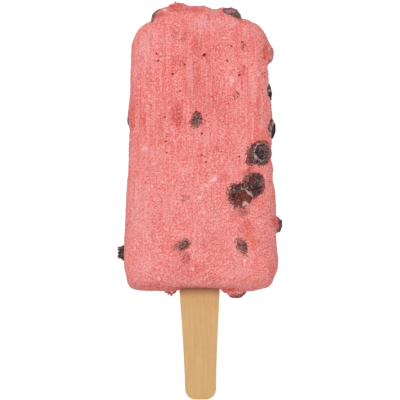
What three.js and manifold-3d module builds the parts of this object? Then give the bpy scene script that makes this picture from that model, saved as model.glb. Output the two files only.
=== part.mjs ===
// Ice pop: a bar of frozen fruit pulp with small dark berries in it, on a flat wooden stick.
// It lies on its flat back. Millimetres: X runs across the bar, Y from the stick's end of the
// bar to its rounded top, and Z up out of the shown face.
import * as THREE from "three";
import { mergeVertices } from "three/addons/utils/BufferGeometryUtils.js";
import Module from "manifold-3d";

const wasm = await Module();
wasm.setup();

// ---------- driving dimensions ----------
const GAP = 0.3; // between the pulp and whatever is frozen into it

const BAR_LENGTH = 105.1;
const BAR_HALF_WIDTH = { base: 28.6, top: 24.9 };
const BAR_THICKNESS = { base: 24, top: 21 };
const CORNER_RADIUS = { base: 10, top: 17 }; // the four corners of the shown face
const EDGE_RADIUS = 7; // from the faces round to the sides and ends
const FACE_CROWN = 0.5; // the shown face swells a little in its middle
const BACK_RIM = 3; // lumps start above the flat back and are full from this height
const BACK_PRESSED = 0.1; // whatever is lower than this is flat on the surface
const BAR_SEGMENTS = { across: 19, along: 31, through: 6 };
const END_CROWDING = 0.55; // how much closer the rows of the grid lie at the two ends

const STICK_LENGTH = 94;
const STICK_SHOWN = 40.2; // what stands out of the bar
const STICK_HALF_WIDTH = { handle: 5.6, held: 8.1 };
const STICK_FLARE_LENGTH = 62; // from the handle's end to where the stick is widest
const STICK_LEAN = 0.6; // degrees, from the bar's own length
const STICK_THICKNESS = 2;
const STICK_EDGE = 0.55; // rounding of the stick's long edges
const STICK_END_RADIUS = { handle: 3.9, held: 6 };
const STICK_STEPS = 20; // points down each long side

const BERRY_RADIUS = 4;
const BERRY_RINGS = 6;
const BERRY_SIDES = 9;
const BERRY_CROWN_RADIUS = 0.5; // the crown's ring, as a share of the berry's radius
const BERRY_CROWN_DEPTH = 0.16; // the hollow inside the ring, as a share too
const POCKET_MARGIN = GAP / 0.7; // on each half size, so that the gap holds in the hollow too

const COLOURS = { pulp: 0xed8c89, berry: 0x3a2430, torn: 0x5c2226, wood: 0xd5ab76 };

// ---------- the bar's plain form ----------
const along = (sizes, y) => THREE.MathUtils.lerp(sizes.base, sizes.top, y / BAR_LENGTH);
const halfWidth = (y) => along(BAR_HALF_WIDTH, y);
const thickness = (y) => along(BAR_THICKNESS, y);
const middle = (y) => thickness(y) / 2;

// Humps and dents that melting, unmoulding and the berries under the skin leave, each at a
// place on the surface (z as a share of the thickness), with its reach and its rise.
const LUMPS = [
  { at: [-8.2, 105, 0.55], reach: 2.4, rise: 2.6 }, // ragged tuft on the top
  { at: [1, 105, 0.5], reach: 5, rise: 0.9 },
  { at: [6, 104.5, 0.5], reach: 2.6, rise: -2 }, // dip beside the top berry
  { at: [11.2, 104.5, 0.55], reach: 3.8, rise: 2.2 }, // pulp carried up by the top berry
  { at: [17.2, 102, 0.5], reach: 4.4, rise: -3.4 }, // low right shoulder
  { at: [-14.2, 103.4, 0.45], reach: 3, rise: 1 }, // top left berry
  { at: [-21, 99.4, 0.5], reach: 4.5, rise: -1.2 },
  { at: [26, 87.6, 0.55], reach: 3.6, rise: 2.6 }, // berry hidden under the right shoulder
  { at: [25.6, 78.5, 0.5], reach: 5, rise: -1.3 },
  { at: [26.6, 60.5, 0.5], reach: 5, rise: 0.7 },
  { at: [26.8, 51.5, 0.5], reach: 4.5, rise: -1.5 },
  { at: [28, 32, 0.5], reach: 6, rise: 0.5 },
  { at: [28.5, 11.5, 0.5], reach: 4.5, rise: 0.8 },
  { at: [-26.4, 64, 0.5], reach: 3.4, rise: 0.9 }, // left side berry
  { at: [-26.7, 56.5, 0.5], reach: 4, rise: -0.7 },
  { at: [-27, 46, 0.5], reach: 6, rise: -0.8 },
  { at: [-28.2, 15, 0.5], reach: 5, rise: 0.4 },
  { at: [-27.6, 8, 0.5], reach: 3.4, rise: -0.8 },
  { at: [13.2, 0, 0.6], reach: 3, rise: 1.2 }, // drip of pulp on the base
  { at: [-11, 0.5, 0.6], reach: 1.8, rise: 0.8 },
  { at: [-24.5, 2.5, 0.5], reach: 4.5, rise: 1 },
  { at: [-19, 92, 1], reach: 9, rise: 0.5 }, // soft swells of the shown face
  { at: [2, 62, 1], reach: 12, rise: 0.4 },
  { at: [-9, 30, 1], reach: 13, rise: 0.35 },
  { at: [15, 42, 1], reach: 10, rise: 0.6 },
  { at: [17, 12, 1], reach: 9, rise: 0.4 },
  { at: [10, 84, 1], reach: 8, rise: -0.4 },
  { at: [-12, 58, 1], reach: 7, rise: -0.3 },
];

// The nearest point of the plate that the surface is wrapped round, EDGE_RADIUS away from it.
function plateUnder(p) {
  const corner = p.y > BAR_LENGTH / 2 ? CORNER_RADIUS.top : CORNER_RADIUS.base;
  const inner = halfWidth(p.y) - corner;
  const straight = new THREE.Vector2(
    THREE.MathUtils.clamp(p.x, -inner, inner),
    THREE.MathUtils.clamp(p.y, corner, BAR_LENGTH - corner),
  );
  const out = new THREE.Vector2(p.x, p.y).sub(straight).clampLength(0, corner - EDGE_RADIUS);
  straight.add(out);
  const z = THREE.MathUtils.clamp(p.z, EDGE_RADIUS, thickness(p.y) - EDGE_RADIUS);
  return new THREE.Vector3(straight.x, straight.y, z);
}

function lumpedBy(p) {
  return LUMPS.reduce((sum, lump) => {
    const at = new THREE.Vector3(lump.at[0], lump.at[1], lump.at[2] * thickness(lump.at[1]));
    return sum + lump.rise * Math.exp(-p.distanceToSquared(at) / lump.reach ** 2);
  }, 0);
}

const crownOfFace = (x) => FACE_CROWN * Math.cos((x / BAR_HALF_WIDTH.base) * (Math.PI / 2));

function faceHeight(x, y) {
  const z = thickness(y) + crownOfFace(x);
  return z + lumpedBy(new THREE.Vector3(x, y, z));
}

// A box whose grid is pulled onto the rounded, tapered and lumpy form. Its back stays flat.
function barGeometry() {
  const { across, along: rows, through } = BAR_SEGMENTS;
  const box = new THREE.BoxGeometry(2, BAR_LENGTH, 1, across, rows, through);
  const grid = box.getAttribute("position");
  const p = new THREE.Vector3();
  for (let i = 0; i < grid.count; i++) {
    p.fromBufferAttribute(grid, i);
    const t = p.y / BAR_LENGTH;
    p.y = (t + 0.5 + (END_CROWDING * Math.sin(2 * Math.PI * t)) / (2 * Math.PI)) * BAR_LENGTH;
    p.x *= halfWidth(p.y);
    p.z = (p.z + 0.5) * thickness(p.y);
    const front = p.z > middle(p.y);
    const plate = plateUnder(p);
    const normal = p.clone().sub(plate).normalize();
    const skin = plate.addScaledVector(normal, EDGE_RADIUS);
    if (front) skin.z += crownOfFace(skin.x) * Math.max(0, normal.z);
    const free = THREE.MathUtils.smoothstep(skin.z, 0, BACK_RIM);
    skin.addScaledVector(normal, free * lumpedBy(skin));
    if (skin.z < BACK_PRESSED) skin.z = 0;
    grid.setXYZ(i, skin.x, skin.y, skin.z);
  }
  return box;
}

// ---------- cutting and joining ----------
function solidOf(geometry, matrix = new THREE.Matrix4()) {
  const plain = new THREE.BufferGeometry();
  const loose = geometry.index ? geometry.toNonIndexed() : geometry;
  plain.setAttribute("position", loose.getAttribute("position").clone());
  plain.applyMatrix4(matrix);
  const merged = mergeVertices(plain, 1e-4);
  const mesh = new wasm.Mesh({
    numProp: 3,
    vertProperties: merged.getAttribute("position").array,
    triVerts: new Uint32Array(merged.index.array),
  });
  return new wasm.Manifold(mesh);
}

function geometryOf(solid) {
  const mesh = solid.getMesh();
  const geometry = new THREE.BufferGeometry();
  geometry.setAttribute("position", new THREE.BufferAttribute(mesh.vertProperties, 3));
  geometry.setIndex(new THREE.BufferAttribute(mesh.triVerts, 1));
  const shown = geometry.toNonIndexed();
  shown.computeVertexNormals();
  return shown;
}

// ---------- the stick ----------
// The flat outline, from the handle's end at y = 0, grown by a margin for the slot it lies in.
function stickOutline(margin = 0) {
  const { handle, held } = STICK_HALF_WIDTH;
  const flare = (y) => THREE.MathUtils.smoothstep(y, 0, STICK_FLARE_LENGTH);
  const half = (y) => THREE.MathUtils.lerp(handle, held, flare(y));
  const side = (end, radius, y) => {
    const into = Math.max(0, radius - Math.abs(y - end));
    return half(y) - radius + Math.sqrt(radius ** 2 - into ** 2) + margin;
  };
  const steps = STICK_STEPS;
  const right = [];
  for (let i = 0; i <= steps; i++) {
    const y = ((1 - Math.cos((Math.PI * i) / steps)) / 2) * STICK_LENGTH;
    const end = y < STICK_LENGTH / 2 ? "handle" : "held";
    const x = side(end === "handle" ? 0 : STICK_LENGTH, STICK_END_RADIUS[end], y);
    right.push(new THREE.Vector2(x, i === 0 ? -margin : i === steps ? y + margin : y));
  }
  const left = right.map((q) => new THREE.Vector2(-q.x, q.y)).reverse();
  return new THREE.Shape([...right, ...left]);
}

function stickGeometry(margin = 0) {
  const edge = STICK_EDGE;
  const depth = STICK_THICKNESS - 2 * edge + 2 * margin;
  const geometry = new THREE.ExtrudeGeometry(stickOutline(margin), {
    depth,
    bevelEnabled: true,
    bevelThickness: edge,
    bevelSize: edge,
    bevelOffset: -edge,
    bevelSegments: 1,
  });
  return geometry.translate(0, -STICK_SHOWN, -depth / 2);
}

// The stick follows the middle of the tapered bar, so it rises a little towards its handle.
const stickPlace = new THREE.Group();
stickPlace.position.z = middle(0);
stickPlace.rotation.x = -Math.atan((BAR_THICKNESS.base - BAR_THICKNESS.top) / 2 / BAR_LENGTH);
stickPlace.rotation.z = THREE.MathUtils.degToRad(STICK_LEAN);
stickPlace.updateMatrix();

// ---------- the berries ----------
// A small round berry of radius 1 with the ring and hollow of its crown at +Z. "crumple" makes
// it uneven and "seed" makes it unlike the others.
function berryGeometry({ crumple = 0.05, seed = 0 }) {
  const rim = Math.PI - Math.asin(BERRY_CROWN_RADIUS);
  const floor = -Math.cos(rim) - BERRY_CROWN_DEPTH;
  const profile = [new THREE.Vector2(0, -1)];
  for (let i = 1; i <= BERRY_RINGS; i++) {
    const angle = (rim * i) / BERRY_RINGS;
    profile.push(new THREE.Vector2(Math.sin(angle), -Math.cos(angle)));
  }
  profile.push(new THREE.Vector2(BERRY_CROWN_RADIUS * 0.7, floor), new THREE.Vector2(0, floor));
  const geometry = new THREE.LatheGeometry(profile, BERRY_SIDES);
  geometry.rotateX(Math.PI / 2);
  const points = geometry.getAttribute("position");
  const p = new THREE.Vector3();
  for (let i = 0; i < points.count; i++) {
    p.fromBufferAttribute(points, i);
    const turn = Math.atan2(p.y, p.x);
    const waves = Math.sin(2 * turn + seed) + Math.sin(3 * turn - 2 * seed + 3 * p.z);
    p.multiplyScalar(1 + crumple * waves * Math.hypot(p.x, p.y));
    points.setXYZ(i, p.x, p.y, p.z);
  }
  return geometry;
}

// Each berry: its centre, its half sizes along its own X, Y and Z as shares of BERRY_RADIUS,
// and how it is turned, in degrees about X, Y and Z. One with no third number in "at" is
// frozen into the shown face, and "proud" says how far it stands out of it.
const BERRIES = {
  berry_crowned: { at: [22, 51.4], proud: 1.3, half: [1, 1, 0.95], turn: [-8, 14, 0] },
  berry_whole: { at: [20, 39.6], proud: 1.5, half: [0.98, 1.2, 0.95], turn: [200, 25, -8] },
  berry_torn: { at: [15.2, 34.2], proud: 1.4, half: [1.12, 1.3, 0.9], turn: [205, -20, 20], crumple: 0.1 },
  berry_peep_mid: { at: [-1.4, 63.8], proud: 0.35, half: [0.85, 1.1, 0.95], turn: [70, 0, -12] },
  berry_peep_left: { at: [-5.9, 17.4], proud: 0.3, half: [1.15, 0.8, 0.95], turn: [0, 75, 32] },
  berry_peep_right: { at: [15.5, 16.9], proud: 0.35, half: [0.8, 1.15, 0.95], turn: [80, 0, 28] },
  berry_top_right: { at: [10.8, 100.4, 15.6], half: [1.1, 0.95, 1], turn: [-56, 8, 0] },
  berry_top_left: { at: [-13.9, 100.4, 9.2], half: [1, 1, 1], turn: [-100, -35, 0] },
  berry_right_high: { at: [21.5, 73.2, 11], half: [0.95, 1.15, 1], turn: [40, 50, 0] },
  berry_right_mid: { at: [23.3, 60.3, 12.6], half: [0.95, 1.15, 1], turn: [30, 70, 0] },
  berry_right_low: { at: [26.9, 24.4, 12.4], half: [0.85, 0.85, 0.85], turn: [10, 80, 0], crumple: 0.09 },
  berry_left_mid: { at: [-23, 63.6, 9.6], half: [0.95, 1.1, 0.95], turn: [-30, -40, 0] },
  berry_left_low: { at: [-27.4, 15, 11.4], half: [0.78, 0.8, 0.82], turn: [0, -88, 0], crumple: 0.1 },
  berry_base: { at: [13.3, 1.9, 13.2], half: [1, 0.85, 0.95], turn: [95, 15, 0], crumple: 0.08 },
};

// More berries show in the back, pressed flat just clear of the plane that the bar lies on.
const BACK_BERRIES = 5;
const BACK_CLEARANCE = 0.15;
const BACK_BERRY_CUT = 0.8; // what the mould's floor takes off each of them
for (let i = 0; i < BACK_BERRIES; i++) {
  const half = 0.95 + 0.05 * Math.sin(2.1 * i);
  const x = 15 * Math.cos(2.4 * i + 0.6);
  const y = BAR_LENGTH * (0.16 + (0.7 * i) / (BACK_BERRIES - 1));
  const turn = [70 + 50 * i, 25 * i, 0];
  BERRIES[`berry_back_${i + 1}`] = { at: [x, y], inBack: true, half: [half, half, half], turn };
}

function berryMatrix({ at: [x, y, z], proud, inBack, half, turn }, shape, margin = 0) {
  const turned = new THREE.Quaternion().setFromEuler(
    new THREE.Euler(...turn.map(THREE.MathUtils.degToRad), "ZYX"),
  );
  const size = new THREE.Vector3(...half).multiplyScalar(BERRY_RADIUS);
  const plain = new THREE.Matrix4().compose(new THREE.Vector3(), turned, size);
  const { min, max } = new THREE.Box3().setFromBufferAttribute(
    shape.getAttribute("position").clone().applyMatrix4(plain),
  );
  const front = z ?? faceHeight(x, y) + proud - max.z;
  const height = inBack ? BACK_CLEARANCE - BACK_BERRY_CUT - min.z : front;
  return plain.compose(new THREE.Vector3(x, y, height), turned, size.addScalar(margin));
}

// ---------- the whole ----------
function meshOf(name, geometry, colour, roughness) {
  const material = new THREE.MeshStandardMaterial({ color: colour, roughness, metalness: 0 });
  const mesh = new THREE.Mesh(geometry, material);
  mesh.name = name;
  return mesh;
}

const pop = new THREE.Group();
let barSolid = solidOf(barGeometry());

const stick = meshOf("stick", geometryOf(solidOf(stickGeometry())), COLOURS.wood, 0.6);
stickPlace.add(stick);
pop.add(stickPlace);
barSolid = barSolid.subtract(solidOf(stickGeometry(GAP), stickPlace.matrix));

// A berry that leans on one before it is dented by that one's pocket, as the bar is.
const floor = new THREE.BoxGeometry(2 * BAR_LENGTH, 2 * BAR_LENGTH, BAR_LENGTH);
floor.translate(0, BAR_LENGTH / 2, BACK_CLEARANCE - BAR_LENGTH / 2);
const floorSolid = solidOf(floor);
const pockets = [];
Object.entries(BERRIES).forEach(([name, berry], i) => {
  const shape = berryGeometry({ crumple: berry.crumple, seed: 1.7 * i });
  const colour = name === "berry_torn" ? COLOURS.torn : COLOURS.berry;
  const whole = solidOf(shape, berryMatrix(berry, shape));
  const cuts = berry.inBack ? [floorSolid] : pockets;
  const solid = cuts.reduce((left, cut) => left.subtract(cut), whole);
  pop.add(meshOf(name, geometryOf(solid), colour, 0.35));
  const pocket = solidOf(shape, berryMatrix(berry, shape, POCKET_MARGIN));
  barSolid = barSolid.subtract(pocket);
  pockets.push(pocket);
});

pop.add(meshOf("bar", geometryOf(barSolid), COLOURS.pulp, 0.55));

// The origin is the middle of the box round the whole pop, on the surface that it lies on.
const box = new THREE.Box3().setFromObject(pop, true);
const centre = box.getCenter(new THREE.Vector3());
pop.position.set(-centre.x, -centre.y, 0);

export default pop;
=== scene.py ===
import bpy
import math
import random
from mathutils import Euler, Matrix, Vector
from mathutils.bvhtree import BVHTree


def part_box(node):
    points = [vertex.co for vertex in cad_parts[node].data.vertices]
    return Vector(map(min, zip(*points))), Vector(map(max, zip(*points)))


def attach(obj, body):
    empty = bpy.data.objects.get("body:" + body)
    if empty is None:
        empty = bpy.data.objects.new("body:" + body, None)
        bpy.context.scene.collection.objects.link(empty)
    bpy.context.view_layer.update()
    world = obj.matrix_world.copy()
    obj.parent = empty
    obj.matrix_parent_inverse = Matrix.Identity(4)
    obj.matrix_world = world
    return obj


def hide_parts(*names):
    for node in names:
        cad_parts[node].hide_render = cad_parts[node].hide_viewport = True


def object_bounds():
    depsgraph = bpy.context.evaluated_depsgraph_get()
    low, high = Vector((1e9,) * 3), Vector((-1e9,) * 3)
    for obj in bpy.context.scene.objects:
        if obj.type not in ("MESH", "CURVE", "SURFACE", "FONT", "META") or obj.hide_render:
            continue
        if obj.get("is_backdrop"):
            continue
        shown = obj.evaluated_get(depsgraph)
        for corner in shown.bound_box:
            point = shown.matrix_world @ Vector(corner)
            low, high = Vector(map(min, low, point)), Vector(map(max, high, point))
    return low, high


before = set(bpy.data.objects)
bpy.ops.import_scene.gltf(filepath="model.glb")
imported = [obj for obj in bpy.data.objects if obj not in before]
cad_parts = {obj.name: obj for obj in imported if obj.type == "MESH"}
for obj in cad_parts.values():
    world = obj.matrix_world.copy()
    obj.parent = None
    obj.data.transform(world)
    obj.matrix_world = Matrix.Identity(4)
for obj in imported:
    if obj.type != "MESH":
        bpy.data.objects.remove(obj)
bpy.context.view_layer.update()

MM = 0.001
TABLE_SIDE = 4  # in metres, as the room's other sizes are
TABLE_DROP = 0.05 * MM  # how far the table lies under the pop

bpy.ops.object.select_all(action="DESELECT")
bpy.ops.mesh.primitive_plane_add(size=TABLE_SIDE, location=(0, 0, -TABLE_DROP))
table = bpy.context.object
table.name = "table"
table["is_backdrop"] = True


class Wire:
    """One output of a node in a tree. Arithmetic on wires adds Math nodes to the tree."""

    def __init__(self, tree, socket=None):
        self.tree = tree
        self.socket = socket

    def node(self, kind, settings=None, inputs=None, out=0):
        made = self.tree.nodes.new(kind)
        for name, value in (settings or {}).items():
            setattr(made, name, value)
        for name, value in (inputs or {}).items():
            if isinstance(value, Wire):
                self.tree.links.new(value.socket, made.inputs[name])
            else:
                made.inputs[name].default_value = value
        return Wire(self.tree, made.outputs[out] if made.outputs else None)

    def maths(self, operation, first, second):
        return self.node("ShaderNodeMath", {"operation": operation}, {0: first, 1: second})

    def __add__(self, other):
        return self.maths("ADD", self, other)

    def __mul__(self, other):
        return self.maths("MULTIPLY", self, other)

    def __sub__(self, other):
        return self.maths("SUBTRACT", self, other)

    def __rsub__(self, other):
        return self.maths("SUBTRACT", other, self)

    __radd__ = __add__

    def away(self, centre):
        return self.maths("ABSOLUTE", self - centre, 0)

    def vector(self, operation, other=None, out=0):
        inputs = {0: self}
        if other is not None:
            inputs[1] = other
        return self.node("ShaderNodeVectorMath", {"operation": operation}, inputs, out)

    def length(self):
        return self.vector("LENGTH", out=1)

    def times(self, factor):
        return self.vector("MULTIPLY", (factor, factor, factor))

    def step(self, low, high):
        """0 below low, 1 above high, and a smooth rise between them."""
        return self.node(
            "ShaderNodeMapRange",
            {"interpolation_type": "SMOOTHSTEP"},
            {"Value": self, "From Min": low, "From Max": high},
        )

    def noise(self, size, detail=2.0, rough=0.5, out=0):
        """Noise over this vector, with features of that size in the vector's own unit."""
        inputs = {"Vector": self, "Scale": 1 / size, "Detail": detail, "Roughness": rough}
        return self.node("ShaderNodeTexNoise", None, inputs, out)

    def patch(self, place, half, turn=0.0, soft=0.7):
        """1 in the middle of an ellipsoid, falling to 0 at its edge: softly, or sharply."""
        inside = self.vector("SUBTRACT", place)
        if turn:
            inputs = {"Vector": inside, "Angle": -math.radians(turn)}
            inside = self.node("ShaderNodeVectorRotate", {"rotation_type": "Z_AXIS"}, inputs)
        return 1 - inside.vector("DIVIDE", half).length().step(1 - soft, 1)

    def over(self, factor, colour):
        """This colour with another laid over it where the factor is 1."""
        inputs = {0: factor, 6: self, 7: colour}
        return self.node("ShaderNodeMix", {"data_type": "RGBA"}, inputs, out=2)


def finish_of(name, **constants):
    """A new material, a wire in its tree, its shader and its Object coordinates in mm."""
    material = bpy.data.materials.new(name)
    material.use_nodes = True
    tree = material.node_tree
    shader = tree.nodes["Principled BSDF"]
    for socket, value in constants.items():
        shader.inputs[socket.replace("_", " ")].default_value = value
    place = Wire(tree).node("ShaderNodeTexCoord", out=3).times(1 / MM)
    return material, shader, place


TABLE_WHITE = 0.12
TABLE_GLOW = 0.94
glow, glow_shader, _ = finish_of("lit_table", Roughness=0.9, Emission_Strength=TABLE_GLOW)
glow_shader.inputs["Base Color"].default_value = (TABLE_WHITE, TABLE_WHITE, TABLE_WHITE, 1)
glow_shader.inputs["Emission Color"].default_value = (1, 1, 1, 1)
table.data.materials.append(glow)

ROOM_LIGHT = 0.46
room = bpy.data.worlds.new("white_room")
room.use_nodes = True
room.node_tree.nodes["Background"].inputs["Color"].default_value = (1, 1, 1, 1)
room.node_tree.nodes["Background"].inputs["Strength"].default_value = ROOM_LIGHT
bpy.context.scene.world = room

SOFTBOX_PLACE = (-0.1, 0.15, 0.92)
SOFTBOX_SIDE = 0.35
SOFTBOX_POWER = 4.9
bpy.ops.object.light_add(type="AREA", location=SOFTBOX_PLACE)
softbox = bpy.context.object
softbox.name = "softbox"
softbox.data.size = SOFTBOX_SIDE
softbox.data.energy = SOFTBOX_POWER
softbox.rotation_euler = Vector(softbox.location).to_track_quat("Z", "Y").to_euler()

CAMERA_PLACE = (0.0, 0.2 * MM, 1.3)
VIEW_SIDE = 148 * MM  # what the picture takes in at the height of the pop's widest line
VIEW_LEVEL = 12 * MM
SENSOR_WIDTH = 36
bpy.ops.object.camera_add(location=CAMERA_PLACE, rotation=(0, 0, 0))
camera = bpy.context.object
camera.name = "camera"
camera.data.sensor_width = SENSOR_WIDTH
camera.data.lens = SENSOR_WIDTH * (CAMERA_PLACE[2] - VIEW_LEVEL) / VIEW_SIDE
camera.data.dof.use_dof = False
bpy.context.scene.camera = camera
bpy.context.scene.view_settings.view_transform = "Standard"

# --- The frozen bar -----------------------------------------------------------------------
# Crushed red fruit frozen in a mould round the stick and the berries. Its skin is granular
# with ice, ridged where it slid out of the mould, and stained where juice has run.
GRAIN_GRID = 0.51 * MM

# Lumps of pulp that swell the bar's outline: place in mm, half sizes in mm, turn in degrees.
CLINGING = [
    ((-9.2, 70.6, 13), (3.4, 1.5, 3.4), 0),
    ((7.6, 69.4, 13), (1.2, 2.0, 3.5), -30),
    ((23.3, 56.2, 13), (2.7, 4.4, 5.4), 10),
    ((27.6, -8.7, 13.4), (1.6, 3.3, 3.0), 0),
    ((9.4, -33.2, 14.6), (1.8, 1.1, 2.0), 0),
    ((12.9, -34.3, 17.4), (2.9, 1.1, 2.0), 0),
]

# Dents and swellings of the skin: place in mm, reach in mm, rise in mm.
WORN = [
    ((-18.6, 67.6, 14), 3.4, -1.1),
    ((0.0, 72.4, 14), 4.0, -0.4),
    ((5.2, 71.2, 14), 2.4, -1.2),
    ((10.6, 72.6, 12), 3.6, -1.7),
    ((15.2, 69.0, 14), 2.6, -2.0),
    ((18.6, 67.0, 14), 2.6, -0.7),
    ((26.4, 49.2, 14), 1.8, -1.1),
    ((27.4, 53.8, 14), 1.4, -0.5),
    ((23.9, 54.5, 20), 1.6, -0.8),
    ((26.6, 40.4, 14), 3.0, -0.8),
    ((27.8, 26.2, 14), 3.2, -1.0),
    ((28.0, 17.0, 14), 3.0, -0.7),
    ((28.4, 8.6, 14), 3.6, -0.5),
    ((-26.3, 25.6, 14), 1.6, -0.4),
    ((25.6, -31.4, 14), 2.6, 0.7),
    ((-25.6, -31.6, 14), 2.4, 0.5),
    ((-5.0, -34.0, 14), 3.4, -1.1),
    ((0.0, -34.0, 14), 3.4, -1.1),
    ((5.0, -34.0, 14), 3.4, -1.1),
    ((2.0, 7.0, 24), 3.0, -0.25),
    ((-9.5, 31.0, 24), 2.5, -0.3),
    ((-13.0, 22.0, 24), 2.0, -0.25),
]
WORN_FADE = 1.5  # how far out a dent or swelling fades to nothing, as a share of its reach
WORN_DEPTH = 30.0  # how far a dent of the outline carries on down the side, in mm

# How far parts of the skin's relief rise or sink, in mm.
CLOT_RISE = 0.5
RIDGE_RISE = 0.4
FINE_RIDGE_RISE = 0.3
GRAIN_RISE = 0.42
PIT_DEPTH = 0.3

bar = bpy.data.objects.new("frozen_bar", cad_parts["bar"].data.copy())
bpy.context.collection.objects.link(bar)


def select_only(thing):
    bpy.ops.object.select_all(action="DESELECT")
    thing.select_set(True)
    bpy.context.view_layer.objects.active = thing


def merge_points(thing, within=0.001 * MM):
    select_only(thing)
    bpy.ops.object.mode_set(mode="EDIT")
    bpy.ops.mesh.select_all(action="SELECT")
    bpy.ops.mesh.remove_doubles(threshold=within)
    bpy.ops.object.mode_set(mode="OBJECT")


def add_modifier(thing, kind, **settings):
    """Adds a modifier and applies it."""
    select_only(thing)
    modifier = thing.modifiers.new(kind.lower(), kind)
    for name, value in settings.items():
        setattr(modifier, name, value)
    bpy.ops.object.modifier_apply(modifier=modifier.name)


def add_ball(place, half, turn, rings=16):
    """A ball at a place in mm, with three half sizes in mm, turned about Z or about XYZ."""
    turns = turn if isinstance(turn, tuple) else (0, 0, turn)
    bpy.ops.object.select_all(action="DESELECT")
    bpy.ops.mesh.primitive_uv_sphere_add(
        segments=2 * rings,
        ring_count=rings,
        radius=1,
        location=Vector(place) * MM,
        rotation=[math.radians(t) for t in turns],
        scale=Vector(half) * MM,
    )
    return bpy.context.object


def join(into, others):
    bpy.ops.object.select_all(action="DESELECT")
    for other in [*others, into]:
        other.select_set(True)
    bpy.context.view_layer.objects.active = into
    bpy.ops.object.join()


def relief(thing, height):
    """Moves each point along its normal by a height in mm, given as a function of place."""
    tree = bpy.data.node_groups.new(thing.name + "_relief", "GeometryNodeTree")
    tree.interface.new_socket("Mesh", in_out="INPUT", socket_type="NodeSocketGeometry")
    tree.interface.new_socket("Mesh", in_out="OUTPUT", socket_type="NodeSocketGeometry")
    start = Wire(tree)
    mesh = start.node("NodeGroupInput")
    place = start.node("GeometryNodeInputPosition").times(1 / MM)
    rise = height(place) * MM
    normal = start.node("GeometryNodeInputNormal")
    spread = start.node("ShaderNodeCombineXYZ", None, {0: rise, 1: rise, 2: rise})
    offset = normal.vector("MULTIPLY", spread)
    moved = start.node("GeometryNodeSetPosition", None, {"Geometry": mesh, "Offset": offset})
    start.node("NodeGroupOutput", None, {0: moved})
    add_modifier(thing, "NODES", node_group=tree)


def in_direction(place, x, y, z):
    """How far a place lies along a direction."""
    return place.vector("DOT_PRODUCT", (x, y, z), out=1)


def swells(place):
    """The broad shapes of the skin: clots, the mould's ridges along it, dents and lumps."""
    streaked = place.vector("MULTIPLY", (1.0, 0.07, 1.0))
    total = (place.noise(4.5, 2.0) - 0.5) * CLOT_RISE
    total = total + (streaked.noise(2.6, 1.0) - 0.5) * RIDGE_RISE
    total = total + (streaked.noise(0.9) - 0.5) * FINE_RIDGE_RISE
    for at, reach, rise in WORN:
        fade = reach * WORN_FADE
        total = total + place.patch(at, (fade, fade, WORN_DEPTH), soft=1.0) * rise
    return total


def pulp_relief(place):
    """The whole relief of the bar's skin, which fades out towards the table."""
    grains = (place.noise(1.2, 2.0, 0.6) - 0.5) * GRAIN_RISE
    pits = place.noise(2.1, 1.0).step(0.64, 0.74) * -PIT_DEPTH
    above_table = in_direction(place, 0, 0, 1).step(0.0, 2.0)
    return (swells(place) + grains + pits) * above_table


merge_points(bar)
# Plugs of pulp close over the pockets of the berries that only show through it, and fill
# others to their lips, where the berry stands out.
WIDER = Vector((0.6, 0.6, 0.25))  # how far a plug reaches past its berry all round, in mm
FILLED_POCKETS = {  # how far each plug lies from its berry's middle, in mm
    "berry_peep_mid": (0, 0, -0.65),
    "berry_peep_left": (0, 0, -0.65),
    "berry_peep_right": (0, 0, -0.65),
    "berry_whole": (0, 0, -1.3),
    "berry_torn": (0, 0, -1.3),
    "berry_top_right": (-0.1, -1.8, -1.8),
    "berry_top_left": (0.6, -1.2, 0),
    "berry_right_high": (-1.8, 0, 0),
    "berry_right_mid": (-2.2, 0, 0),
    "berry_left_mid": (1.3, 0, 0),
}
plugs = []
for name, inwards in FILLED_POCKETS.items():
    low, high = (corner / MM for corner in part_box(name))
    plugs.append(add_ball((low + high) / 2 + Vector(inwards), (high - low) / 2 + WIDER, 0))
join(bar, plugs + [add_ball(*lump) for lump in CLINGING])
add_modifier(bar, "REMESH", mode="VOXEL", voxel_size=GRAIN_GRID)
add_modifier(bar, "SMOOTH", factor=0.5, iterations=3)
# The bar as it is before its relief, which berries pressed flat are levelled with later.
pulp_level = BVHTree.FromObject(bar, bpy.context.evaluated_depsgraph_get())
# How far each point of the skin faces up or down, for the painted shade that lays the bar's
# sides darker.
facing = bar.data.attributes.new("facing", "FLOAT", "POINT")
facing.data.foreach_set("value", [abs(v.normal.z) for v in bar.data.vertices])
relief(bar, pulp_relief)


def paint(red, green, blue):
    """A screen colour of 0 to 255 as the linear colour that a shader takes."""
    linear = [((c / 255 + 0.055) / 1.055) ** 2.4 for c in (red, green, blue)]
    return (*linear, 1.0)


PINK = paint(246, 137, 132)
DEEP_PINK = paint(238, 100, 93)
PALE_PINK = paint(248, 162, 158)
FROST = paint(255, 198, 194)
SHADE = paint(204, 72, 67)
SIDE_SHADE = paint(206, 98, 94)
JUICE = paint(208, 58, 52)
WARM_JUICE = paint(232, 112, 80)
DARK_JUICE_AND_SHADE = paint(136, 42, 44)
LILAC = paint(240, 166, 168)
BRUISE = paint(84, 40, 44)
BERRY_GREY = paint(98, 56, 42)

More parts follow.
